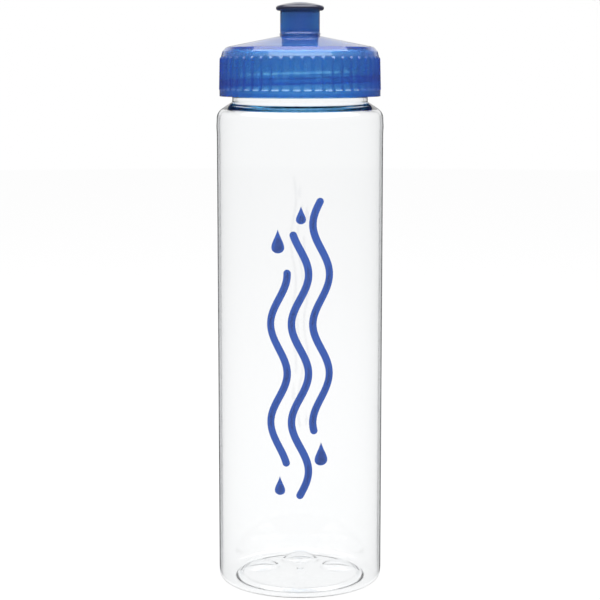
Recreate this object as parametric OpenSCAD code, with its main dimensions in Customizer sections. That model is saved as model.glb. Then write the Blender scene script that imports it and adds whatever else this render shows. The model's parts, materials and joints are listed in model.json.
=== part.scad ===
// Sports squeeze bottle with a ribbed screw lid and a push-pull spout.
// Millimetres. The origin is on the bottle's axis at the standing plane, +Z is up, and the front is -Y.

/* [Bottle] */
// Outer diameter of the straight wall
body_d = 72; // [71:0.5:73]
// Height at which the straight wall turns into the shoulder
wall_top_z = 204.3; // [120:0.1:240]
// Thickness of the blown wall
wall = 1; // [0.8:0.1:1.4]
// Radius of the heel between the wall and the standing ring
heel_r = 3.4; // [2.5:0.1:4]
// Radius of the turn between the wall and the shoulder
shoulder_r = 5; // [3:0.5:6]
// Slope of the shoulder above the horizontal, in degrees
shoulder_slope = 32.7; // [28:0.1:36]
// How much flatter the shoulder's inner face lies, so that the wall thickens towards the neck, in degrees
shoulder_wedge = 14; // [0:1:16]
// How far the wall swells out just below the shoulder
wall_swell = 0.15; // [0:0.05:0.3]

/* [Base] */
// Inner radius of the standing ring
ring_inner_r = 27; // [26:0.5:29]
// Height of the pushed-up floor at its outer edge
floor_rise = 1; // [0.6:0.1:1.4]
// How much further the floor rises towards its centre
floor_crown = 1.6; // [0.8:0.1:2.4]
// Number of raised lobes at the back of the base
lobe_count = 3; // [1:2:5]
// Turn from one lobe to the next, in degrees
lobe_step = 70; // [60:1:72]
// Radius at which the lobes' centres lie
lobe_ring_r = 18; // [17:0.5:18.5]

/* [Neck] */
// Outer radius of the neck that shows under the lid
neck_r = 29.25; // [29:0.05:29.5]
// Outer radius of the neck between the threads
finish_r = 30; // [29.8:0.1:30.1]
// Inner radius of the neck
mouth_r = 27.8; // [27.4:0.1:28.2]
// Height of neck that shows under the lid
neck_gap = 2; // [1.5:0.1:3]
// Height of the neck inside the lid
finish_h = 17.7; // [17.4:0.1:18]
// Rise of the thread in one turn
thread_pitch = 5; // [4.8:0.1:5.4]
// Length of the thread in turns
thread_turns = 1.25; // [1:0.05:1.4]

/* [Lid] */
// Number of grip ribs
rib_count = 48; // [36:1:60]
// Radius of the plain band under the ribs
band_r = 34.75; // [34.6:0.05:34.9]
// Radius of the rib crests at their lower end
rib_r = 34.95; // [34.9:0.05:35.2]
// Depth of the grooves between the ribs
groove_depth = 0.6; // [0.4:0.05:0.7]
// Height of the lid's rim above the lid's lower edge
rim_h = 21; // [20.8:0.1:21.5]
// Rise of the deck from its rim to the chimney
deck_rise = 4.7; // [4:0.1:5]

/* [Spout] */
// Outer radius of the spout sleeve
sleeve_r = 8.5; // [8.4:0.1:8.8]
// Radius of the soft tip's disc
tip_r = 10.3; // [10:0.1:11]
// Radius of the drinking hole
orifice_r = 3.9; // [3.6:0.05:4.1]
// Gap between the valve plug and the drinking hole, and between the sleeve and the chimney's bead
running_gap = 0.06; // [0.04:0.01:0.1]
// How far the spout pulls up to open
spout_travel = 5.5; // [4:0.1:5.5]

/* [Hidden] */
$fn = 96;
step = 10; // degrees between the sections of a thread

body_r = body_d / 2;
heel_c = [body_r - heel_r, heel_r];
shoulder_c = [body_r - shoulder_r, wall_top_z];
corner_z = wall_top_z + shoulder_r * tan((90 - shoulder_slope) / 2);
fillet_r = 0.8;
inner_fillet_r = 2.25;
inner_slope = shoulder_slope - shoulder_wedge;
fillet_c = [
    neck_r + fillet_r,
    corner_z + (body_r - neck_r - fillet_r) * tan(shoulder_slope) + fillet_r / cos(shoulder_slope)
];
swell_h = 7;

step_w = 1.7;
step_r = ring_inner_r - step_w;
base_wall = wall + 0.2;
inner_step_out = 0.5;
floor_top_z = floor_rise + floor_crown;
lobe_r = 10.4;
lobe_z = -6.2;
gate_r = 1.2;
gate_h = 0.5;

neck_z = fillet_c[1];
lid_z = neck_z + neck_gap;
lip_z = lid_z + finish_h;
thread_root_w = 3;
thread_crest_w = 1.4;
thread_z = lid_z + 5.2;
thread_bury = 0.8;
neck_thread_r = finish_r + 1.35;
flare_h = 0.6;
rim_chamfer = 0.5;
mouth_chamfer = 0.4;

skirt_r = 32.1;
lid_thread_r = skirt_r - 1.5;
lid_thread_bias = 0.25;
ceiling_z = lip_z + 1.5;
rib_bottom_z = lid_z + 2.8;
rib_top_z = lid_z + 16.3;
taper_top_z = lid_z + 19.1;
rim_z = lid_z + rim_h;
rim_r = 31.6;
taper_r = 33.4;
rib_draft = 0.3;
rib_root_w = 2;
rib_crest_share = 0.36; // of the root's width, measured a little outside the crest
rib_end_h = 0.7;
rib_weld = 0.4;
front_rib = -88.5;
groove_bottom_r = rib_r - groove_depth;
groove_top_r = groove_bottom_r - rib_draft;
plug_ring_r = [25, 26.2];
plug_ring_h = 2.8;
deck_t = 1.9;
deck_slope = deck_rise / (rim_r - sleeve_r);

boss_h = 0.5;
foot_gap = 0.15;
boss_r = sleeve_r + 0.1;
boss_z = rim_z + deck_rise + boss_h;
foot_z = boss_z + foot_gap;
foot_r = sleeve_r + 0.33;
sleeve_inner_r = sleeve_r - 1.4;
chimney_r = sleeve_inner_r - 0.4;
chimney_bore_r = chimney_r - 1.3;
bead_r = sleeve_inner_r - running_gap;
sleeve_bead_r = chimney_r + running_gap;
sleeve_bead_h = 1.8;
sleeve_top_z = foot_z + 10.1;
chimney_top_z = sleeve_top_z - 0.6;
chimney_bead_z = foot_z + sleeve_bead_h + spout_travel + 0.2;
bead_chamfer = 0.4;
core_r = sleeve_r - 0.7;
core_h = 1.5;
core_hole_r = 5;
core_under_z = sleeve_top_z - 0.3;
tip_under_z = sleeve_top_z + 0.05;
tip_edge_r = 0.95;
tip_edge_h = 2.15;
dome_rise = 1.4;
dome_edge_r = tip_r - tip_edge_r;
apex_z = tip_under_z + tip_edge_h + dome_rise;
dome_r = (dome_edge_r * dome_edge_r + dome_rise * dome_rise) / (2 * dome_rise);
post_r = 2.4;
plug_r = orifice_r - running_gap;
plug_base_z = chimney_top_z + 0.2;
plug_cone_h = 1.2;
plug_chamfer = 0.3;
web_count = 3;
web_w = 1.4;
web_h = 6;
web_bury = 0.5;
gasket_inner_r = plug_ring_r[1] + 0.3;
gasket_outer_r = skirt_r - 1.1;
gasket_gap = 0.1;

// Points along an arc about c from angle a to angle b
function arc(c, r, a, b, n = 8) =
    [for (i = [0:n]) c + r * [cos(a + (b - a) * i / n), sin(a + (b - a) * i / n)]];

// Height of the spout's dome at radius r
function dome_z(r) = apex_z - dome_r + sqrt(dome_r * dome_r - r * r);

// Height of the deck's upper face at radius r
function deck_z(r) = rim_z + (rim_r - r) * deck_slope;

// Wall radius along the slight swell, for t from 0 to 1
function swell(t) = body_r + wall_swell * pow(sin(180 * t), 2);

// A trapezoid swept up a helix. Its foot lies inside the wall, and both ends dive into the wall.
module thread(foot_r, root_r, crest_r, start_z) {
    count = round(360 * thread_turns / step);
    fade = 3;
    depth = crest_r - root_r;
    foot_w = thread_crest_w + (thread_root_w - thread_crest_w) * abs(crest_r - foot_r) / abs(depth);
    function crest(i) = root_r + depth * min(1, i / fade - 0.1, (count - i) / fade - 0.1);
    function section(i) =
        let (a = i * step, z = start_z + thread_pitch * a / 360)
        [for (p = [
            [foot_r, -foot_w / 2],
            [crest(i), -thread_crest_w / 2],
            [crest(i), thread_crest_w / 2],
            [foot_r, foot_w / 2]
        ]) [p[0] * cos(a), p[0] * sin(a), z + p[1]]];
    order = crest_r > root_r ? [0, 1, 2, 3] : [3, 2, 1, 0];
    sides = [for (i = [0:count - 1], j = [0:3])
        let (a = i * 4 + order[j], b = i * 4 + order[(j + 1) % 4])
        [a, b, b + 4, a + 4]];
    ends = [[for (j = [3:-1:0]) order[j]], [for (j = order) count * 4 + j]];
    polyhedron([for (i = [0:count]) each section(i)], concat(ends, sides), convexity = 6);
}

// Spheres that raise the lobes of the base, grown by extra
module lobes(extra) {
    for (i = [0:lobe_count - 1])
        rotate(90 + (i - (lobe_count - 1) / 2) * lobe_step)
            translate([lobe_ring_r, 0, lobe_z])
                sphere(lobe_r + extra);
}

module bottle_outside() {
    difference() {
        rotate_extrude()
            polygon(concat(
                [[0, floor_top_z], [step_r, floor_rise], [ring_inner_r, 0]],
                arc(heel_c, heel_r, -90, 0),
                [for (i = [0:7]) [swell(i / 8), wall_top_z - swell_h * (1 - i / 8)]],
                arc(shoulder_c, shoulder_r, 0, 90 - shoulder_slope),
                arc(fillet_c, fillet_r, 270 - shoulder_slope, 180, 4),
                [[neck_r, lid_z - flare_h], [finish_r, lid_z + flare_h], [finish_r, lip_z - rim_chamfer]],
                [[finish_r - rim_chamfer, lip_z], [0, lip_z]]
            ));
        lobes(0);
    }
}

module bottle_inside() {
    arc_end = shoulder_c + (shoulder_r - wall) * [sin(inner_slope), cos(inner_slope)];
    inner_r = mouth_r + inner_fillet_r;
    inner_z = arc_end[1] + (arc_end[0] - inner_r) * tan(inner_slope) + inner_fillet_r / cos(inner_slope);
    difference() {
        rotate_extrude()
            polygon(concat(
                [[0, floor_top_z + base_wall], [step_r + inner_step_out, floor_rise + base_wall]],
                [[ring_inner_r + inner_step_out, wall]],
                arc(heel_c, heel_r - wall, -90, 0),
                [for (i = [0:7]) [swell(i / 8) - wall, wall_top_z - swell_h * (1 - i / 8)]],
                arc(shoulder_c, shoulder_r - wall, 0, 90 - inner_slope),
                arc([inner_r, inner_z], inner_fillet_r, 270 - inner_slope, 180, 6),
                [[mouth_r, lip_z - mouth_chamfer], [mouth_r + mouth_chamfer, lip_z]],
                [[mouth_r + mouth_chamfer, lip_z + 1], [0, lip_z + 1]]
            ));
        lobes(base_wall);
    }
}

module bottle_shell() {
    color([0.93, 0.95, 0.97, 0.35]) {
        difference() {
            bottle_outside();
            bottle_inside();
        }
        translate([0, 0, floor_top_z - gate_h])
            cylinder(gate_h + wall / 2, gate_r, gate_r);
        thread(finish_r - thread_bury, finish_r, neck_thread_r, thread_z);
    }
}

// Skirt, deck and chimney of the lid, without ribs, thread and valve
module lid_body() {
    rotate_extrude()
        polygon([
            [skirt_r + 0.5, lid_z],
            [band_r, lid_z],
            [band_r, rib_bottom_z],
            [groove_bottom_r, rib_bottom_z + rib_weld],
            [groove_top_r, rib_top_z],
            [taper_r, taper_top_z],
            [rim_r, rim_z],
            [boss_r, deck_z(boss_r)],
            [boss_r, boss_z],
            [chimney_r, boss_z],
            [chimney_r, chimney_bead_z],
            [bead_r, chimney_bead_z + bead_chamfer],
            [bead_r, chimney_top_z - bead_chamfer],
            [bead_r - bead_chamfer, chimney_top_z],
            [chimney_bore_r, chimney_top_z],
            [chimney_bore_r, deck_z(chimney_bore_r) - deck_t],
            [plug_ring_r[0], deck_z(plug_ring_r[0]) - deck_t],
            [plug_ring_r[0], ceiling_z - plug_ring_h],
            [plug_ring_r[1], ceiling_z - plug_ring_h],
            [plug_ring_r[1], ceiling_z],
            [skirt_r - 0.9, ceiling_z],
            [skirt_r, ceiling_z - 1.2],
            [skirt_r, lid_z + 0.6]
        ]);
}

// Grip ribs: a ring with the ribs' long profile, cut to a star of narrow wedges
module lid_ribs() {
    root_half = 360 * rib_root_w / 2 / (2 * PI * groove_bottom_r);
    crest_half = root_half * rib_crest_share;
    outer = rib_r + 2;
    root_r = skirt_r + rib_weld;
    intersection() {
        rotate_extrude()
            polygon([
                [root_r, rib_bottom_z - rib_weld],
                [rib_r - 0.2, rib_bottom_z - rib_weld],
                [rib_r, rib_bottom_z],
                [rib_r - rib_draft, rib_top_z - 0.2],
                [groove_top_r - 0.2, rib_top_z + rib_end_h],
                [root_r, rib_top_z + rib_end_h]
            ]);
        translate([0, 0, lid_z])
            linear_extrude(rim_h)
                for (i = [0:rib_count - 1])
                    rotate(front_rib + i * 360 / rib_count)
                        polygon([
                            skirt_r * [cos(root_half), -sin(root_half)],
                            groove_top_r * [cos(root_half), -sin(root_half)],
                            outer * [cos(crest_half), -sin(crest_half)],
                            outer * [cos(crest_half), sin(crest_half)],
                            groove_top_r * [cos(root_half), sin(root_half)],
                            skirt_r * [cos(root_half), sin(root_half)]
                        ]);
    }
}

// Centre post with the plug that closes the drinking hole, held on three webs
module valve_plug() {
    rotate_extrude()
        polygon(concat(
            [[0, foot_z - 1], [post_r, foot_z - 1], [post_r, plug_base_z - plug_cone_h], [plug_r, plug_base_z]],
            [[plug_r, dome_z(plug_r) - plug_chamfer], [plug_r - plug_chamfer, dome_z(plug_r)]],
            [for (i = [3:-1:0]) [plug_r * i / 4, dome_z(plug_r * i / 4)]]
        ));
    for (i = [0:web_count - 1])
        rotate((i + 0.25) * 360 / web_count)
            translate([post_r - web_bury, -web_w / 2, foot_z])
                cube([chimney_bore_r - post_r + 2 * web_bury, web_w, web_h]);
}

module screw_lid() {
    color([0.16, 0.36, 0.74]) {
        lid_body();
        lid_ribs();
        valve_plug();
        thread(skirt_r + thread_bury, skirt_r, lid_thread_r, thread_z - thread_pitch / 2 + lid_thread_bias);
    }
}

module lid_gasket() {
    color([0.9, 0.9, 0.88])
        rotate_extrude()
            translate([gasket_inner_r, lip_z + gasket_gap])
                square([gasket_outer_r - gasket_inner_r, ceiling_z - lip_z - 2 * gasket_gap]);
}

module spout_sleeve() {
    color([0.16, 0.36, 0.74])
        rotate_extrude()
            polygon([
                [sleeve_bead_r + 0.25, foot_z],
                [foot_r, foot_z],
                [foot_r, foot_z + 0.4],
                [sleeve_r + 0.12, foot_z + 0.9],
                [sleeve_r, foot_z + 1.7],
                [sleeve_r, sleeve_top_z - 0.4],
                [sleeve_r - 0.4, sleeve_top_z],
                [core_r, sleeve_top_z],
                [core_r, sleeve_top_z + core_h],
                [core_hole_r, sleeve_top_z + core_h],
                [core_hole_r, core_under_z],
                [sleeve_inner_r, core_under_z],
                [sleeve_inner_r, foot_z + sleeve_bead_h + 0.35],
                [sleeve_bead_r, foot_z + sleeve_bead_h],
                [sleeve_bead_r, foot_z + 0.3]
            ]);
}

module soft_tip() {
    edge_low = [dome_edge_r, tip_under_z + tip_edge_r];
    edge_high = [dome_edge_r, tip_under_z + tip_edge_h - tip_edge_r];
    color([0.1, 0.1, 0.16])
        rotate_extrude()
            polygon(concat(
                [[orifice_r, core_under_z], [core_hole_r, core_under_z]],
                [[core_hole_r, sleeve_top_z + core_h], [core_r, sleeve_top_z + core_h]],
                [[core_r, tip_under_z]],
                arc(edge_low, tip_edge_r, -90, 0, 5),
                arc(edge_high, tip_edge_r, 0, 80, 5),
                [for (i = [0:6]) let (r = dome_edge_r - (dome_edge_r - orifice_r) * (i + 0.6) / 7) [r, dome_z(r)]],
                [[orifice_r, dome_z(orifice_r) - 0.4]]
            ));
}

bottle_shell();
screw_lid();
lid_gasket();
spout_sleeve();
soft_tip();
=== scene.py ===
"""Looks of the sports squeeze bottle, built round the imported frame. Metres, +Z up, front towards -Y."""

import json
import math

import bmesh
import bpy
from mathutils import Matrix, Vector


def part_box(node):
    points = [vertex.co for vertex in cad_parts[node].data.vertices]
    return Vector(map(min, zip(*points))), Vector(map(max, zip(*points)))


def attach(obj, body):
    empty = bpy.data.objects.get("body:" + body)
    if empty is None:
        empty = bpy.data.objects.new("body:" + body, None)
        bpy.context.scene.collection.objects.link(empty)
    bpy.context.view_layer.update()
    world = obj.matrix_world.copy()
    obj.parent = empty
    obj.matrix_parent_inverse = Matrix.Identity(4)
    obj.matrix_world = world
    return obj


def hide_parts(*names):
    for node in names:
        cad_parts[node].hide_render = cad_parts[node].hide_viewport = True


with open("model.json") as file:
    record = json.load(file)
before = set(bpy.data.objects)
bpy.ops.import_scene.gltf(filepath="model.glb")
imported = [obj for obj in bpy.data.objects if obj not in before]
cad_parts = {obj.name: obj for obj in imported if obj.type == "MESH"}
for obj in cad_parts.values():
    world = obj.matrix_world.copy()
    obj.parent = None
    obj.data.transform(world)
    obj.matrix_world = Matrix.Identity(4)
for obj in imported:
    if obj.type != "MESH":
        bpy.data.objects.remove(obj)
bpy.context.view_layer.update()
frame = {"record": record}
MM = 0.001


# ---------------------------------------------------------------- sizes, in millimetres

def mount(name):
    """The record's mount of that name."""
    return next(m for m in frame["record"]["mounts"] if m["name"] == name)


def node_z(node):
    """Lowest and highest z of a CAD node, in millimetres."""
    low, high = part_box(node)
    return low.z / MM, high.z / MM


def node_r(node):
    """Largest radius of a CAD node, in millimetres."""
    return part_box(node)[1].x / MM


BODY_R = mount("holder_wall")["dims"]["r_mm"]
LIP_Z = node_z("bottle_shell")[1]
LID_Z, APEX_Z = node_z("screw_lid")
FOOT_Z = node_z("spout_sleeve")[0]
TIP_R = node_r("soft_tip")
RIB_R = node_r("screw_lid")

# Bottle
WALL = 1.0
WALL_TOP = LIP_Z - 27.2
SWELL = node_r("bottle_shell") - BODY_R
SWELL_H = 7.0
SWELL_FACETS = 16
WALL_FACET = 12.0
HEEL_R = 3.4
SHOULDER_R = 5.0
SHOULDER_SLOPE = math.radians(32.7)
INNER_SLOPE = math.radians(18.7)
INNER_FILLET = 2.25
NECK_R = 29.25
NECK_FILLET = 0.8
FLARE_Z = (LID_Z - 0.3, LID_Z + 0.9)
FLARE_FILLET = 0.5
FINISH_R = 30.0
FINISH_LOW = LID_Z + 2
MOUTH_R = 27.8
RIM_FILLET = 0.8
RIM_DEPTH = 2.0
TURN_FACETS = 14
RING_R = 27.0
RING_FLAT = 3.0
STEP_R = 25.3
STEP_LEAD = 1.2
STEP_FILLET = 1.0
FLOOR_RISE = 1.0
FLOOR_CROWN = 1.6
FLOOR_FACET = 0.55
GATE_R = 1.2
GATE_H = 0.5
GATE_DRAFT = 0.1
GATE_FILLET = 0.3
BASE_TOP = 6.0
BASE_WALL = 1.2
INNER_STEP_OUT = 1.6
LOBES = 3
LOBE_STEP = math.radians(70)
LOBE_RING_R = 18.0
LOBE_R = 10.4
LOBE_Z = -6.2
LOBE_BLEND = 0.35
LOBE_LIMIT = RING_R - 0.3

# Threads
PITCH = 5.0
TURNS = 1.25
THREAD_ROOT_W = 3.0
THREAD_CREST_W = 1.4
THREAD_Z = LID_Z + 5.2
THREAD_DEPTH = 1.35
LID_THREAD_DEPTH = 1.5
LID_THREAD_SHIFT = -PITCH / 2 + 0.25
THREAD_FADE = math.radians(30)
THREAD_FACET = 0.3
LID_THREAD_FACET = 0.4

# Lid
SKIRT_R = 32.1
SKIRT_CHAMFER = 0.6
BAND_R = 34.75
BAND_FILLET = 0.25
RIBS = 48
RIB_TURN = math.radians(-88.5)
GROOVE = 0.6
RIB_DRAFT = 0.3
RIB_LEAD = 0.5
RIB_ROWS = 12
RIB_SLOPE = [(0, 1), (0.05, 0.95), (0.1, 0.76), (0.15, 0.42), (0.2, 0.14), (0.25, 0.02), (0.34, 0), (0.5, 0)]
BAND_TOP = LID_Z + 2.8
RIB_TOP = LID_Z + 16.3
TAPER_TOP = LID_Z + 19.1
TAPER_R = 33.4
RIM_Z = LID_Z + 21.0
RIM_R = 31.6
DECK_RISE = 4.7
BOSS_R = 8.6
DECK_WALL = 1.9
CEILING_Z = LIP_Z + 1.5
PLUG_RING = (25.0, 26.2)
PLUG_RING_H = 2.8
LID_THREAD_Z = (LID_Z + 1, CEILING_Z - 3)
GASKET_GAP = 0.1

# Spout
SLEEVE_R = 8.5
SLEEVE_BORE = 7.1
SLEEVE_TOP = FOOT_Z + 10.1
CHIMNEY_R = 6.7
CHIMNEY_BORE = 5.4
CHIMNEY_TOP = SLEEVE_TOP - 0.6
BEAD_R = 7.04
CORE_R = 7.8
CORE_H = 1.5
CORE_HOLE = 5.0
CORE_UNDER = SLEEVE_TOP - 0.3
SLEEVE_BEAD_R = CHIMNEY_R + 0.06
BOSS_Z = FOOT_Z - 0.15
ORIFICE_R = 3.9
LIP_R = 0.45
PLUG_R = 3.84
PLUG_BASE = CHIMNEY_TOP + 0.2
PLUG_CONE = 1.2
PLUG_FACET = 0.6
POST_R = 2.4
WEBS = 3
WEB_W = 1.4
WEB_H = 6.0
WEB_BURY = 0.5
TIP_UNDER = SLEEVE_TOP + 0.05
TIP_EDGE_H = 2.15
TIP_EDGE_R = 0.95
DOME_RISE = 1.4
DOME_EDGE_R = TIP_R - TIP_EDGE_R
DOME_R = (DOME_EDGE_R ** 2 + DOME_RISE ** 2) / (2 * DOME_RISE)


# ---------------------------------------------------------------- outlines

SUPPORT = 0.12
SHARP = math.radians(40)


def arc(centre, radius, start, end, count):
    """Points along an arc, from angle start to angle end, in radians."""
    turns = [start + (end - start) * i / count for i in range(count + 1)]
    return [(centre[0] + radius * math.cos(a), centre[1] + radius * math.sin(a)) for a in turns]


def stretch(a, b, spacing):
    """Points from a to b along a straight line, about spacing apart."""
    count = max(1, round(math.dist(a, b) / spacing))
    return [(a[0] + (b[0] - a[0]) * i / count, a[1] + (b[1] - a[1]) * i / count) for i in range(count + 1)]


def rounded(corners, closed=False, step=math.radians(15)):
    """A path through (r, z, fillet) corners. A corner with a fillet is turned into an arc, with a point just
    before and just after it, which keep the faces beside it flat-shaded."""
    path = []
    count = len(corners)
    for i, (r, z, fillet) in enumerate(corners):
        here = Vector((r, z))
        at_end = not closed and i in (0, count - 1)
        back = Vector(corners[i - 1][:2]) - here
        ahead = Vector(corners[(i + 1) % count][:2]) - here
        turn = math.pi - back.angle(ahead) if not at_end else 0
        if fillet == 0 or turn < 0.01:
            path.append((r, z))
            continue
        reach = min(fillet * math.tan(turn / 2), 0.4 * back.length, 0.4 * ahead.length)
        radius = reach / math.tan(turn / 2)
        middle = (back.normalized() + ahead.normalized()).normalized()
        centre = here + middle * radius / math.cos(turn / 2)
        first = here + back.normalized() * reach - centre
        side = 1 if back.cross(ahead) < 0 else -1
        pieces = max(3, round(turn / step))
        path.append(tuple(here + back.normalized() * (reach + min(SUPPORT, 0.08 * back.length))))
        for k in range(pieces + 1):
            a = math.atan2(first.y, first.x) + side * turn * k / pieces
            path.append((centre.x + radius * math.cos(a), centre.y + radius * math.sin(a)))
        path.append(tuple(here + ahead.normalized() * (reach + min(SUPPORT, 0.08 * ahead.length))))
    return path


def deck_z(r):
    """Height of the lid's deck at radius r."""
    return RIM_Z + (RIM_R - r) * DECK_RISE / (RIM_R - SLEEVE_R)


def dome_z(r):
    """Height of the spout's dome at radius r."""
    return APEX_Z - DOME_R + math.sqrt(DOME_R ** 2 - r ** 2)


def smooth_step(t):
    """0 below 0, 1 above 1, and a smooth rise between."""
    t = min(1.0, max(0.0, t))
    return t * t * (3 - 2 * t)


# ---------------------------------------------------------------- mesh code

def mesh_object(name, verts, faces):
    """A smooth-shaded mesh object, from points in millimetres."""
    mesh = bpy.data.meshes.new(name)
    mesh.from_pydata([Vector(v) * MM for v in verts], [], faces)
    work = bmesh.new()
    work.from_mesh(mesh)
    bmesh.ops.recalc_face_normals(work, faces=work.faces)
    work.to_mesh(mesh)
    work.free()
    mesh.polygons.foreach_set("use_smooth", [True] * len(mesh.polygons))
    mesh.set_sharp_from_angle(angle=SHARP)
    piece = bpy.data.objects.new(name, mesh)
    bpy.context.scene.collection.objects.link(piece)
    return piece


def even_angles(count):
    """count angles round the axis."""
    return [2 * math.pi * j / count for j in range(count)]


def lathe(name, path, angles, relief=None, closed=False):
    """Turns a path of (r, z) round the axis. relief(i, angle, r, z) moves a point of row i."""
    verts, rows = [], []
    for i, (r, z) in enumerate(path):
        if r < 1e-6:
            rows.append([len(verts)] * len(angles))
            verts.append((0, 0, z))
            continue
        rows.append(list(range(len(verts), len(verts) + len(angles))))
        for a in angles:
            rr, zz = relief(i, a, r, z) if relief else (r, z)
            verts.append((rr * math.cos(a), rr * math.sin(a), zz))
    faces = []
    count = len(rows)
    for i in range(count if closed else count - 1):
        low, high = rows[i], rows[(i + 1) % count]
        for j in range(len(angles)):
            k = (j + 1) % len(angles)
            corners = [low[j], low[k], high[k], high[j]]
            faces.append([c for n, c in enumerate(corners) if c != corners[n - 1]])
    return mesh_object(name, verts, faces)


def thread_height(angle, z, start_z, depth):
    """How far a thread stands out of its wall at that angle and height."""
    turned = angle % (2 * math.pi)
    end = TURNS * 2 * math.pi
    best = 0.0
    while turned <= end:
        off = abs(z - start_z - PITCH * turned / (2 * math.pi))
        flank = (THREAD_ROOT_W / 2 - off) / ((THREAD_ROOT_W - THREAD_CREST_W) / 2)
        fade = smooth_step(min(turned, end - turned) / THREAD_FADE)
        best = max(best, depth * smooth_step(flank) * fade)
        turned += 2 * math.pi
    return best


def lobe_height(angle, r, z, grow):
    """Height of the base surface at that place, lifted where one of the lobes rises through it."""
    off = (angle - math.pi / 2 + math.pi) % (2 * math.pi) - math.pi
    reach = (LOBES - 1) / 2
    off -= LOBE_STEP * min(reach, max(-reach, round(off / LOBE_STEP)))
    away = r * r + LOBE_RING_R ** 2 - 2 * r * LOBE_RING_R * math.cos(off)
    radius = LOBE_R + grow
    if away >= radius * radius:
        return z
    lobe = LOBE_Z + math.sqrt(radius * radius - away)
    gap = (lobe - z) / LOBE_BLEND
    if gap < -8:
        return z
    if gap > 40:
        return lobe
    return z + LOBE_BLEND * math.log1p(math.exp(gap))


# ---------------------------------------------------------------- pieces

def base_outline(inside):
    """The floor, the step round it and the flat ring, from the centre out."""
    lift = BASE_WALL if inside else 0
    out = INNER_STEP_OUT if inside else 0
    ring_z = WALL if inside else 0
    floor_z = FLOOR_RISE + lift
    lead = (STEP_R - STEP_LEAD + out, floor_z)
    floor = stretch((0, floor_z + FLOOR_CROWN), lead, FLOOR_FACET)
    step = rounded([
        lead + (0,),
        (STEP_R + out, floor_z, STEP_FILLET),
        (RING_R + out, ring_z, STEP_FILLET),
        (RING_R + RING_FLAT, ring_z, 0),
    ], step=math.radians(8))
    if inside:
        return floor + step[1:]
    gate_z = floor_z + FLOOR_CROWN - GATE_H
    gate = rounded([
        (0, gate_z, 0),
        (GATE_R, gate_z, GATE_FILLET),
        (GATE_R + GATE_DRAFT, floor[3][1], GATE_FILLET),
        floor[4] + (0,),
    ])
    return gate + floor[5:] + step[1:]


def wall_outline(inset, slope):
    """The heel, the straight wall with its swell, and the turn into a shoulder of that slope."""
    wall_r = BODY_R - inset
    heel = arc((BODY_R - HEEL_R, HEEL_R), HEEL_R - inset, -math.pi / 2, 0, TURN_FACETS)
    straight = stretch((wall_r, HEEL_R), (wall_r, WALL_TOP - SWELL_H), WALL_FACET)[1:]
    swell = []
    for i in range(1, SWELL_FACETS):
        t = i / SWELL_FACETS
        swell.append((wall_r + SWELL * math.sin(math.pi * t) ** 2, WALL_TOP - SWELL_H * (1 - t)))
    shoulder_c = (BODY_R - SHOULDER_R, WALL_TOP)
    return heel + straight + swell + arc(shoulder_c, SHOULDER_R - inset, 0, math.pi / 2 - slope, TURN_FACETS)


def outer_neck_outline():
    """The hollow turn from the shoulder into the neck, then the neck up to its rim and over it."""
    slope = SHOULDER_SLOPE
    corner_z = WALL_TOP + SHOULDER_R * math.tan((math.pi / 2 - slope) / 2)
    fillet_r = NECK_R + NECK_FILLET
    fillet_z = corner_z + (BODY_R - fillet_r) * math.tan(slope) + NECK_FILLET / math.cos(slope)
    turn = arc((fillet_r, fillet_z), NECK_FILLET, math.pi * 1.5 - slope, math.pi, 6)
    flare = rounded([
        (NECK_R, FLARE_Z[0] - 0.5, 0),
        (NECK_R, FLARE_Z[0], FLARE_FILLET),
        (FINISH_R, FLARE_Z[1], FLARE_FILLET),
        (FINISH_R, FINISH_LOW, 0),
    ])
    threaded = stretch((FINISH_R, FINISH_LOW), (FINISH_R, LIP_Z - RIM_DEPTH - 1), THREAD_FACET)
    rim = rounded([
        (FINISH_R, LIP_Z - RIM_DEPTH, 0),
        (FINISH_R, LIP_Z, RIM_FILLET),
        (MOUTH_R, LIP_Z, RIM_FILLET),
        (MOUTH_R, LIP_Z - RIM_DEPTH, 0),
    ])
    return turn + flare[1:-1] + threaded + rim


def inner_neck_outline():
    """The turn from inside the neck into the shoulder's inner face, which lies flatter than the outer one."""
    turn_r = MOUTH_R + INNER_FILLET
    from_r = BODY_R - SHOULDER_R + (SHOULDER_R - WALL) * math.sin(INNER_SLOPE)
    from_z = WALL_TOP + (SHOULDER_R - WALL) * math.cos(INNER_SLOPE)
    turn_z = from_z + (from_r - turn_r) * math.tan(INNER_SLOPE) + INNER_FILLET / math.cos(INNER_SLOPE)
    return arc((turn_r, turn_z), INNER_FILLET, math.pi, math.pi * 1.5 - INNER_SLOPE, 10)


def make_bottle():
    """The clear blown bottle, with its thread and the lobes of its base."""
    outside = base_outline(False) + wall_outline(0, SHOULDER_SLOPE) + outer_neck_outline()
    inside = inner_neck_outline() + wall_outline(WALL, INNER_SLOPE)[::-1] + base_outline(True)[::-1]

    def relief(i, angle, r, z):
        if i < len(outside):
            if z > FINISH_LOW and r > FINISH_R - 0.01:
                return r + thread_height(angle, z, THREAD_Z, THREAD_DEPTH), z
            if z < BASE_TOP and r < LOBE_LIMIT:
                return r, lobe_height(angle, r, z, 0)
        elif z < BASE_TOP and r < RING_R:
            return r, lobe_height(angle, r, z, BASE_WALL)
        return r, z

    return lathe("clear_bottle", outside + inside, even_angles(288), relief)


def rib_angles():
    """Angles for the lid's columns, closer together on the ribs' flanks, and how far each is up a rib."""
    marks = [(-t, h) for t, h in RIB_SLOPE[:0:-1]] + RIB_SLOPE[:-1]
    angles, heights = [], []
    for k in range(RIBS):
        for t, h in marks:
            angles.append(RIB_TURN + (k + t) * 2 * math.pi / RIBS)
            heights.append(h)
    return angles, heights


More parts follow.
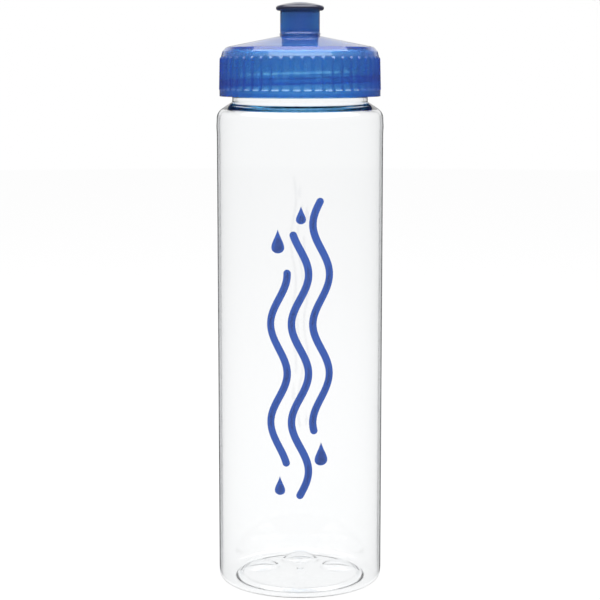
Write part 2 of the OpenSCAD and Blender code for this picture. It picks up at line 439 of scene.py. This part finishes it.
def rib_rows():
    """(groove point, crest point) pairs up the ribs, from the band's edge to the foot of the taper."""
    low_r = RIB_R - GROOVE
    top_r = RIB_R - RIB_DRAFT
    rows = [
        ((BAND_R, BAND_TOP - 0.12), (BAND_R, BAND_TOP - 0.12)),
        ((BAND_R - 0.05, BAND_TOP + 0.02), (BAND_R + 0.04, BAND_TOP - 0.02)),
        ((BAND_R - 0.14, BAND_TOP + 0.12), (RIB_R - 0.05, BAND_TOP + 0.06)),
        ((low_r + 0.05, BAND_TOP + 0.36), (RIB_R, BAND_TOP + 0.2)),
        ((low_r, BAND_TOP + 0.48), (RIB_R, BAND_TOP + RIB_LEAD)),
    ]
    for i in range(1, RIB_ROWS):
        z = BAND_TOP + RIB_LEAD + (RIB_TOP - BAND_TOP - 2 * RIB_LEAD) * i / RIB_ROWS
        r = RIB_R - RIB_DRAFT * i / RIB_ROWS
        rows.append(((r - GROOVE, z), (r, z)))
    return rows + [
        ((top_r - GROOVE, RIB_TOP - 0.25), (top_r, RIB_TOP - 0.3)),
        ((top_r - GROOVE, RIB_TOP), (top_r - 0.04, RIB_TOP - 0.12)),
        ((top_r - GROOVE - 0.02, RIB_TOP + 0.4), (top_r - GROOVE + 0.06, RIB_TOP + 0.5)),
        ((top_r - GROOVE - 0.05, RIB_TOP + 0.6), (top_r - GROOVE - 0.03, RIB_TOP + 0.62)),
    ]


def lid_rows():
    """The lid's section as (groove point, crest point) pairs, which differ only where the ribs are."""
    taper_low = RIB_R - RIB_DRAFT - GROOVE
    band = rounded([
        (SKIRT_R + SKIRT_CHAMFER, LID_Z, 0),
        (BAND_R, LID_Z, BAND_FILLET),
        (BAND_R, BAND_TOP - 0.3, 0),
    ])
    top = rounded([
        (taper_low - 0.06, RIB_TOP + 0.7, 0),
        (taper_low - 0.09, RIB_TOP + 0.8, 0),
        (TAPER_R, TAPER_TOP, 0.15),
        (RIM_R, RIM_Z, 0.2),
        (BOSS_R, deck_z(BOSS_R), 0.1),
        (BOSS_R, BOSS_Z, 0.1),
        (CHIMNEY_R, BOSS_Z, 0.2),
        (CHIMNEY_R, FOOT_Z + 7.5, 0.2),
        (BEAD_R, FOOT_Z + 7.9, 0.2),
        (BEAD_R, CHIMNEY_TOP - 0.4, 0.2),
        (BEAD_R - 0.4, CHIMNEY_TOP, 0.2),
        (CHIMNEY_BORE, CHIMNEY_TOP, 0.2),
        (CHIMNEY_BORE, deck_z(CHIMNEY_BORE) - DECK_WALL, 0.8),
        (PLUG_RING[0], deck_z(PLUG_RING[0]) - DECK_WALL, 0.8),
        (PLUG_RING[0], CEILING_Z - PLUG_RING_H, 0.4),
        (PLUG_RING[1], CEILING_Z - PLUG_RING_H, 0.4),
        (PLUG_RING[1], CEILING_Z, 0.2),
        (SKIRT_R - 0.9, CEILING_Z, 0.5),
        (SKIRT_R, CEILING_Z - 1.2, 0.5),
        (SKIRT_R, LID_THREAD_Z[1], 0),
    ])
    threaded = stretch((SKIRT_R, LID_THREAD_Z[1]), (SKIRT_R, LID_THREAD_Z[0]), LID_THREAD_FACET)[1:]
    return [(p, p) for p in band] + rib_rows() + [(p, p) for p in top + threaded]


def make_lid():
    """The ribbed screw lid, without the valve plug."""
    pairs = lid_rows()
    angles, heights = rib_angles()
    height_at = dict(zip(angles, heights))

    def relief(i, angle, r, z):
        groove, crest = pairs[i]
        if r == SKIRT_R and LID_THREAD_Z[0] <= z <= LID_THREAD_Z[1]:
            return r - thread_height(angle, z, THREAD_Z + LID_THREAD_SHIFT, LID_THREAD_DEPTH), z
        h = height_at[angle]
        return groove[0] + (crest[0] - groove[0]) * h, groove[1] + (crest[1] - groove[1]) * h

    return lathe("blue_lid", [p[0] for p in pairs], angles, relief, closed=True)


def make_valve():
    """The centre post with the plug that closes the drinking hole, and its three webs."""
    side = rounded([
        (0, FOOT_Z - 1, 0),
        (POST_R, FOOT_Z - 1, 0.4),
        (POST_R, PLUG_BASE - PLUG_CONE, 0.6),
        (PLUG_R, PLUG_BASE, 0.2),
        (PLUG_R, dome_z(PLUG_R), 0.35),
        (PLUG_R - 0.8, dome_z(PLUG_R - 0.8), 0),
    ])
    top = [(PLUG_FACET * k, dome_z(PLUG_FACET * k)) for k in range(4, -1, -1)]
    valve = lathe("valve_plug", side + top, even_angles(96))
    reach = (POST_R - WEB_BURY, CHIMNEY_BORE + WEB_BURY)
    for k in range(WEBS):
        turn = 2 * math.pi * (k + 0.25) / WEBS
        web = bmesh.new()
        bmesh.ops.create_cube(web, size=1)
        for v in web.verts:
            along = reach[0] if v.co.x < 0 else reach[1]
            across = v.co.y * WEB_W
            x = along * math.cos(turn) - across * math.sin(turn)
            y = along * math.sin(turn) + across * math.cos(turn)
            v.co = Vector((x, y, FOOT_Z + (v.co.z + 0.5) * WEB_H)) * MM
        mesh = bpy.data.meshes.new("web")
        web.to_mesh(mesh)
        web.free()
        fuse(valve, bpy.data.objects.new("web", mesh))
    return valve


def fuse(piece, other):
    """Joins another closed solid into a piece, with one skin, and removes it."""
    bpy.context.scene.collection.objects.link(other)
    union = piece.modifiers.new("union", "BOOLEAN")
    union.operation = "UNION"
    union.solver = "EXACT"
    union.object = other
    shape = bpy.context.evaluated_depsgraph_get()
    mesh = bpy.data.meshes.new_from_object(piece.evaluated_get(shape))
    piece.modifiers.remove(union)
    piece.data = mesh
    mesh.set_sharp_from_angle(angle=SHARP)
    bpy.data.objects.remove(other)


def make_gasket():
    """The flat sealing ring between the neck's rim and the lid."""
    radii = (PLUG_RING[1] + 0.3, SKIRT_R - 1.1)
    low = LIP_Z + GASKET_GAP
    high = CEILING_Z - GASKET_GAP
    corners = [(radii[0], low), (radii[1], low), (radii[1], high), (radii[0], high)]
    path = rounded([corner + (0.3,) for corner in corners], closed=True)
    return lathe("gasket_ring", path, even_angles(192), closed=True)


def make_sleeve():
    """The blue push-pull sleeve."""
    foot_r = node_r("spout_sleeve")
    inner_foot_r = SLEEVE_BEAD_R + 0.25
    flare_turn = math.radians(36)
    flare_r = (foot_r - SLEEVE_R) / (1 - math.cos(flare_turn))
    flare_z = FOOT_Z + 0.3 + flare_r * math.sin(flare_turn)
    foot = rounded([(inner_foot_r, FOOT_Z, 0), (foot_r, FOOT_Z, 0.12), (foot_r, FOOT_Z + 0.25, 0)])
    flare = arc((SLEEVE_R + flare_r, flare_z), flare_r, math.pi + flare_turn, math.pi, 10)
    rest = rounded([
        (SLEEVE_R, flare_z + SUPPORT, 0),
        (SLEEVE_R, SLEEVE_TOP, 0.35),
        (CORE_R, SLEEVE_TOP, 0),
        (CORE_R, SLEEVE_TOP + CORE_H, 0.2),
        (CORE_HOLE, SLEEVE_TOP + CORE_H, 0.2),
        (CORE_HOLE, CORE_UNDER, 0.1),
        (SLEEVE_BORE, CORE_UNDER, 0.4),
        (SLEEVE_BORE, FOOT_Z + 2.15, 0.2),
        (SLEEVE_BEAD_R, FOOT_Z + 1.8, 0.15),
        (SLEEVE_BEAD_R, FOOT_Z + 0.3, 0.15),
        (inner_foot_r, FOOT_Z, 0),
    ])
    return lathe("blue_sleeve", foot + flare + rest[:-1], even_angles(144), closed=True)


def make_tip():
    """The soft dark tip, moulded over the sleeve's top, with its drinking hole."""
    low = arc((DOME_EDGE_R, TIP_UNDER + TIP_EDGE_R), TIP_EDGE_R, -math.pi / 2, 0, 7)
    high = arc((DOME_EDGE_R, TIP_UNDER + TIP_EDGE_H - TIP_EDGE_R), TIP_EDGE_R, 0, math.radians(78), 7)
    first = DOME_EDGE_R - 0.3
    last = ORIFICE_R + LIP_R
    dome = [first + (last - first) * i / 10 for i in range(11)]
    turned = arc((last, dome_z(last) - LIP_R), LIP_R, math.radians(100), math.pi, 6)
    inside = rounded([
        (ORIFICE_R, dome_z(last) - LIP_R, 0),
        (ORIFICE_R, CORE_UNDER, 0.2),
        (CORE_HOLE, CORE_UNDER, 0),
        (CORE_HOLE, SLEEVE_TOP + CORE_H, 0),
        (CORE_R, SLEEVE_TOP + CORE_H, 0),
        (CORE_R, TIP_UNDER, 0),
    ])
    path = low + high + [(r, dome_z(r)) for r in dome] + turned + inside[1:]
    return lathe("dark_tip", path, even_angles(144), closed=True)


# ---------------------------------------------------------------- the print

PRINT_PROUD = 0.03
PRINT_DEPTH = 0.02
PRINT_LOW = 46.0
PRINT_HIGH = 171.0
STROKE = 3.2
STROKE_CAP = 10
WAVE_SWING = 3.6
WAVE_LENGTH = 42.0
WAVES = ((-9.0, 14, -30), (0.0, 0, -14), (9.0, 28, 0))
DROPS = ((-8.6, 48.6, 2.6), (9.0, 62.0, 3.2), (-9.4, 152.5, 3.2), (0.4, 164.0, 2.4))
DROP_POINTS = 48


def wrap(x, z, lift):
    """A point of the flat artwork, laid on the front of the bottle's wall."""
    turn = x / BODY_R
    r = BODY_R + lift
    return (r * math.sin(turn), -r * math.cos(turn), z)


def wave_points(middle, low, high):
    """The centre line of one wavy stroke that climbs from low to high."""
    count = round((high - low) / 0.8)
    heights = [low + (high - low) * i / count for i in range(count + 1)]
    return [(middle + WAVE_SWING * math.sin(2 * math.pi * (z - PRINT_LOW) / WAVE_LENGTH), z) for z in heights]


def stroke_outline(line, width):
    """The left side, head, right side and tail of a stroke along a line, with round ends."""
    left, right = [], []
    for i, (x, z) in enumerate(line):
        a = Vector(line[max(0, i - 1)])
        b = Vector(line[min(len(line) - 1, i + 1)])
        along = (b - a).normalized()
        side = Vector((-along.y, along.x)) * width / 2
        left.append((x + side.x, z + side.y))
        right.append((x - side.x, z - side.y))

    def end(centre, start):
        angle = math.atan2(start[1] - centre[1], start[0] - centre[0])
        turns = [angle - math.pi * k / STROKE_CAP for k in range(1, STROKE_CAP)]
        return [(centre[0] + width / 2 * math.cos(t), centre[1] + width / 2 * math.sin(t)) for t in turns]

    return left, end(line[-1], left[-1]), right, end(line[0], right[0])


def ink_from_stroke(line, width):
    """Points and faces of one stroke of ink, as a thin closed film on the wall."""
    left, head, right, tail = stroke_outline(line, width)
    flat = left + head + right[::-1] + tail
    far = len(left) + len(head) + len(right) - 1
    rungs = [[i, i + 1, far - i - 1, far - i] for i in range(len(left) - 1)]
    head_cap = list(range(len(left) - 1, len(left) + len(head) + 1))
    tail_cap = list(range(far, len(flat))) + [0]
    return film(flat, rungs + [head_cap, tail_cap])


def ink_from_outline(flat):
    """Points and faces of one filled shape of ink."""
    return film(flat, [list(range(len(flat)))])


def film(flat, tops):
    """A closed film with the outline flat and the top faces tops, on the bottle's wall."""
    count = len(flat)
    verts = []
    for lift in (PRINT_PROUD, PRINT_PROUD - PRINT_DEPTH):
        verts += [wrap(x, z, lift) for x, z in flat]
    faces = tops + [[i + count for i in reversed(face)] for face in tops]
    faces += [[i, (i + 1) % count, (i + 1) % count + count, i + count] for i in range(count)]
    return verts, faces


def drop_outline(x, z, size):
    """A drop of water with its point up and its round part centred on (x, z)."""
    narrowing, sharpness, lengthening = 0.85, 2.2, 1.1
    points = []
    for a in even_angles(DROP_POINTS):
        upward = (1 + math.sin(a)) / 2
        across = math.cos(a) * (1 - narrowing * upward ** sharpness)
        along = math.sin(a) + lengthening * upward ** 3
        points.append((x + size * across, z + size * along))
    return points


def make_print():
    """A made-up design in one ink: three rising waves and a few drops."""
    shapes = []
    for middle, start, end in WAVES:
        shapes.append(ink_from_stroke(wave_points(middle, PRINT_LOW + start, PRINT_HIGH + end), STROKE))
    for x, z, size in DROPS:
        shapes.append(ink_from_outline(drop_outline(x, z, size)))
    verts, faces = [], []
    for points, sides in shapes:
        faces += [[i + len(verts) for i in side] for side in sides]
        verts += points
    return mesh_object("front_print", verts, faces)


# ---------------------------------------------------------------- materials

# Facing range over which the clear plastic's colour fades into a painted dark outline.
PAINTED_RIM_FACING = (0.78, 0.90)


class Shader:
    """A material with one Principled shader, and short calls to add what varies over its surface."""

    def __init__(self, name, **values):
        self.material = bpy.data.materials.new(name)
        self.material.use_nodes = True
        self.nodes = self.material.node_tree.nodes
        self.links = self.material.node_tree.links
        self.main = self.nodes["Principled BSDF"]
        self.set(**values)
        self.coordinates = self.nodes.new("ShaderNodeTexCoord").outputs
        self.place = self.coordinates["Object"]

    def set(self, **values):
        """Sets sockets of the shader, with _ for a space in their names."""
        for key, value in values.items():
            self.main.inputs[key.replace("_", " ")].default_value = value

    def add_principled(self, **values):
        """A second Principled shader for a mix."""
        other = self.nodes.new("ShaderNodeBsdfPrincipled")
        for key, value in values.items():
            other.inputs[key.replace("_", " ")].default_value = value
        return other

    def mix_in(self, other, share):
        """Shows the given share of a second shader over the main one."""
        mixer = self.nodes.new("ShaderNodeMixShader")
        mixer.inputs["Fac"].default_value = share
        output = next(n for n in self.nodes if n.type == "OUTPUT_MATERIAL")
        self.links.new(self.main.outputs["BSDF"], mixer.inputs[1])
        self.links.new(other.outputs["BSDF"], mixer.inputs[2])
        self.links.new(mixer.outputs["Shader"], output.inputs["Surface"])

    def noise(self, scale, detail, stretch_to=(1, 1, 1)):
        """A noise's value, between 0 and 1. scale is in cells a metre."""
        mapping = self.nodes.new("ShaderNodeMapping")
        mapping.inputs["Scale"].default_value = stretch_to
        self.links.new(self.place, mapping.inputs["Vector"])
        noise = self.nodes.new("ShaderNodeTexNoise")
        noise.inputs["Scale"].default_value = scale
        noise.inputs["Detail"].default_value = detail
        self.links.new(mapping.outputs["Vector"], noise.inputs["Vector"])
        return noise.outputs["Fac"]

    def combine(self, operation, a, b=None):
        """One operation on one or two values."""
        node = self.nodes.new("ShaderNodeMath")
        node.operation = operation
        self.links.new(a, node.inputs[0])
        if b:
            self.links.new(b, node.inputs[1])
        return node.outputs["Value"]

    def flatness(self):
        """How much the surface faces up or down, from 0 on an upright wall to 1 on a flat floor."""
        split = self.nodes.new("ShaderNodeSeparateXYZ")
        self.links.new(self.coordinates["Normal"], split.inputs["Vector"])
        return self.combine("ABSOLUTE", split.outputs["Z"])

    def ramp(self, value, low, high, start=0.3, end=0.7):
        """value mapped to run from low to high between start and end."""
        node = self.nodes.new("ShaderNodeMapRange")
        node.inputs["From Min"].default_value = start
        node.inputs["From Max"].default_value = end
        node.inputs["To Min"].default_value = low
        node.inputs["To Max"].default_value = high
        self.links.new(value, node.inputs["Value"])
        return node.outputs["Result"]

    def blend(self, value, colour_a, colour_b):
        """A colour between two, as value runs from 0 to 1."""
        node = self.nodes.new("ShaderNodeMix")
        node.data_type = "RGBA"
        node.inputs["A"].default_value = (*colour_a, 1)
        node.inputs["B"].default_value = (*colour_b, 1)
        self.links.new(value, node.inputs["Factor"])
        return node.outputs["Result"]

    def drive(self, name, output):
        """Feeds one of the shader's sockets."""
        self.links.new(output, self.main.inputs[name])

    def bump(self, value, height, strength):
        """Adds a bump of that height, in metres."""
        node = self.nodes.new("ShaderNodeBump")
        node.inputs["Distance"].default_value = height
        node.inputs["Strength"].default_value = strength
        self.links.new(value, node.inputs["Height"])
        self.drive("Normal", node.outputs["Normal"])

    def absorb(self, colour, density):
        """Tints light by how far it goes inside the plastic."""
        node = self.nodes.new("ShaderNodeVolumeAbsorption")
        node.inputs["Color"].default_value = (*colour, 1)
        node.inputs["Density"].default_value = density
        output = next(n for n in self.nodes if n.type == "OUTPUT_MATERIAL")
        self.links.new(node.outputs["Volume"], output.inputs["Volume"])


def clear_plastic():
    """Glossy clear blown plastic, with the slight waviness of a blown wall, and a painted dark outline: its
    colour turns near-black where the surface turns edge-on, most strongly on upright walls, standing in for
    the dark surroundings its rims would show.
    """
    shader = Shader("clear_blown_plastic", IOR=1.5, Transmission_Weight=1.0)
    # Painted dark outline: the base colour runs from white to near-black as the surface turns edge-on, at
    # full strength on upright walls and a quarter as strong on flat ones.
    edge = shader.nodes.new("ShaderNodeLayerWeight").outputs["Facing"]
    edge = shader.ramp(edge, 0, 1, *PAINTED_RIM_FACING)
    upright = shader.ramp(shader.flatness(), 1, 0.25, 0.45, 0.85)
    edge = shader.combine("MULTIPLY", edge, upright)
    shader.drive("Base Color", shader.blend(edge, (1, 1, 1), (0.015, 0.018, 0.03)))
    shader.drive("Roughness", shader.ramp(shader.noise(60, 4), 0.0, 0.03))
    shader.bump(shader.noise(45, 2, (1, 1, 0.35)), 0.00003, 0.5)
    shader.absorb((0.80, 0.86, 0.90), 60)
    return shader.material


def blue_plastic():
    """Translucent blue moulded plastic: a cloudy body and a clearer one, under one glossy skin."""
    skin = {"Specular_IOR_Level": 0.0, "Coat_Weight": 1.0, "Coat_Roughness": 0.03, "Coat_IOR": 1.5}
    shader = Shader("translucent_blue_plastic", Roughness=0.4, **skin)
    grain = shader.noise(120, 4)
    shader.drive("Base Color", shader.blend(grain, (0.028, 0.13, 0.58), (0.034, 0.15, 0.68)))
    glow = shader.add_principled(IOR=1.49, Transmission_Weight=1.0, **skin)
    shader.links.new(shader.blend(grain, (0.88, 0.94, 0.97), (0.94, 0.98, 0.99)), glow.inputs["Base Color"])
    shader.links.new(shader.ramp(shader.noise(300, 5), 0.34, 0.44), glow.inputs["Roughness"])
    shader.mix_in(glow, 0.85)
    shader.absorb((0.0, 0.68, 0.94), 750)
    return shader.material


def tip_rubber():
    """Soft near-black elastomer with a satin skin."""
    shader = Shader("soft_dark_elastomer", IOR=1.46, Specular_IOR_Level=0.9)
    shader.set(Coat_Weight=0.35, Coat_Roughness=0.12, Coat_IOR=1.6)
    grain = shader.noise(400, 4)
    shader.drive("Base Color", shader.blend(grain, (0.009, 0.011, 0.032), (0.017, 0.020, 0.052)))
    shader.drive("Roughness", shader.ramp(shader.noise(700, 5), 0.16, 0.26))
    shader.bump(shader.noise(2600, 2), 0.00002, 0.4)
    return shader.material


def seal_silicone():
    """Milky soft silicone."""
    shader = Shader("milky_silicone", IOR=1.41, Subsurface_Weight=0.3, Subsurface_Scale=0.002)
    shader.drive("Base Color", shader.blend(shader.noise(500, 3), (0.72, 0.74, 0.75), (0.82, 0.83, 0.83)))
    shader.drive("Roughness", shader.ramp(shader.noise(900, 3), 0.45, 0.6))
    return shader.material


def print_ink():
    """Opaque blue screen-print ink with a slightly uneven film."""
    shader = Shader("blue_ink", IOR=1.5, Specular_IOR_Level=0.4)
    shader.drive("Base Color", shader.blend(shader.noise(260, 5), (0.033, 0.085, 0.34), (0.042, 0.10, 0.38)))
    shader.drive("Roughness", shader.ramp(shader.noise(1500, 4), 0.3, 0.45))
    shader.bump(shader.noise(3000, 3), 0.00001, 0.3)
    return shader.material


# ---------------------------------------------------------------- studio

def make_floor():
    """A plain pale floor that glows softly, like a light table. Polished surfaces mirror only the part of it
    close to the object."""
    shader = Shader("pale_floor", Base_Color=(0.05, 0.05, 0.05, 1), Roughness=0.7, Specular_IOR_Level=0.0)
    shader.set(Emission_Color=(1, 1, 1, 1), Emission_Strength=0.97)
    wide = ("floor", 3.0, -0.0002, False)
    near = ("floor_near", 0.040, -0.0001, True)
    for name, radius, z, mirrored in (wide, near):
        work = bmesh.new()
        bmesh.ops.create_circle(work, cap_ends=True, radius=radius, segments=96)
        mesh = bpy.data.meshes.new(name)
        work.to_mesh(mesh)
        work.free()
        mesh.materials.append(shader.material)
        disc = bpy.data.objects.new(name, mesh)
        bpy.context.scene.collection.objects.link(disc)
        disc.location.z = z
        disc.visible_glossy = mirrored


def make_world():
    """A white surround. Polished surfaces mirror a darker studio, with a band of light low down, which is
    strongest behind the object."""
    world = bpy.data.worlds.new("studio")
    bpy.context.scene.world = world
    world.use_nodes = True
    nodes, links = world.node_tree.nodes, world.node_tree.links
    dim, side_light, back_light = 0.10, 0.25, 0.78

    def ramp(value, start, end, low, high):
        node = nodes.new("ShaderNodeMapRange")
        node.interpolation_type = "SMOOTHSTEP"
        for name, number in zip(("From Min", "From Max", "To Min", "To Max"), (start, end, low, high)):
            node.inputs[name].default_value = number
        links.new(value, node.inputs["Value"])
        return node.outputs["Result"]

    def combine(operation, a, b):
        node = nodes.new("ShaderNodeMath")
        node.operation = operation
        links.new(a, node.inputs[0])
        if isinstance(b, float):
            node.inputs[1].default_value = b
        else:
            links.new(b, node.inputs[1])
        return node.outputs["Value"]

    split = nodes.new("ShaderNodeSeparateXYZ")
    links.new(nodes.new("ShaderNodeTexCoord").outputs["Generated"], split.inputs["Vector"])
    lower_edge = ramp(split.outputs["Z"], 0.07, 0.13, 0, 1)
    upper_edge = ramp(split.outputs["Z"], 0.40, 0.55, 1, 0)
    strength = ramp(split.outputs["Y"], 0.7, 0.9, side_light, back_light)
    band = combine("MULTIPLY", combine("MULTIPLY", lower_edge, upper_edge), strength)
    studio = combine("ADD", band, dim)
    path = nodes.new("ShaderNodeLightPath").outputs
    plain = combine("MAXIMUM", path["Is Camera Ray"], path["Is Transmission Ray"])
    level = nodes.new("ShaderNodeMix")
    level.inputs["B"].default_value = 1.0
    links.new(plain, level.inputs["Factor"])
    links.new(studio, level.inputs["A"])
    links.new(level.outputs["Result"], nodes["Background"].inputs["Strength"])
    nodes["Background"].inputs["Color"].default_value = (1, 1, 1, 1)


def make_softbox():
    """A very large soft light overhead, reaching from just behind the object to well in front of it."""
    light = bpy.data.lights.new("softbox", "AREA")
    light.shape = "RECTANGLE"
    light.size, light.size_y = 2.8, 2.3
    radiance = 3.5
    light.energy = radiance * math.pi * light.size * light.size_y
    box = bpy.data.objects.new("softbox", light)
    bpy.context.scene.collection.objects.link(box)
    box.location = (0, -0.79, 1.2)
    box.rotation_euler = (math.radians(-4), 0, 0)
    box.visible_camera = False


def make_camera():
    """A long lens a little above the middle, looking slightly down at the front."""
    data = bpy.data.cameras.new("camera")
    data.sensor_width = 36.0
    data.lens = 102.0
    camera = bpy.data.objects.new("camera", data)
    bpy.context.scene.collection.objects.link(camera)
    camera.location = (0, -0.740, 0.2278)
    pitch = math.radians(7.92)
    camera.rotation_euler = (math.pi / 2 - pitch, 0, 0)
    bpy.context.scene.camera = camera


# ---------------------------------------------------------------- assembly

def place(piece, node, body, material):
    """Gives a piece its material, and puts it on a body in the place of a CAD node."""
    piece.data.materials.clear()
    piece.data.materials.append(material)
    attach(piece, body)
    if node:
        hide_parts(node)


bpy.context.scene.view_settings.view_transform = "Standard"
bpy.context.scene.cycles.denoising_input_passes = "RGB"
make_camera()
make_world()
make_softbox()
make_floor()

blue = blue_plastic()
place(make_bottle(), "bottle_shell", "bottle", clear_plastic())
place(make_print(), None, "bottle", print_ink())
place(make_gasket(), "lid_gasket", "seal", seal_silicone())
place(make_lid(), "screw_lid", "lid", blue)
place(make_valve(), "screw_lid", "lid", blue)
place(make_sleeve(), "spout_sleeve", "spout", blue)
place(make_tip(), "soft_tip", "spout", tip_rubber())
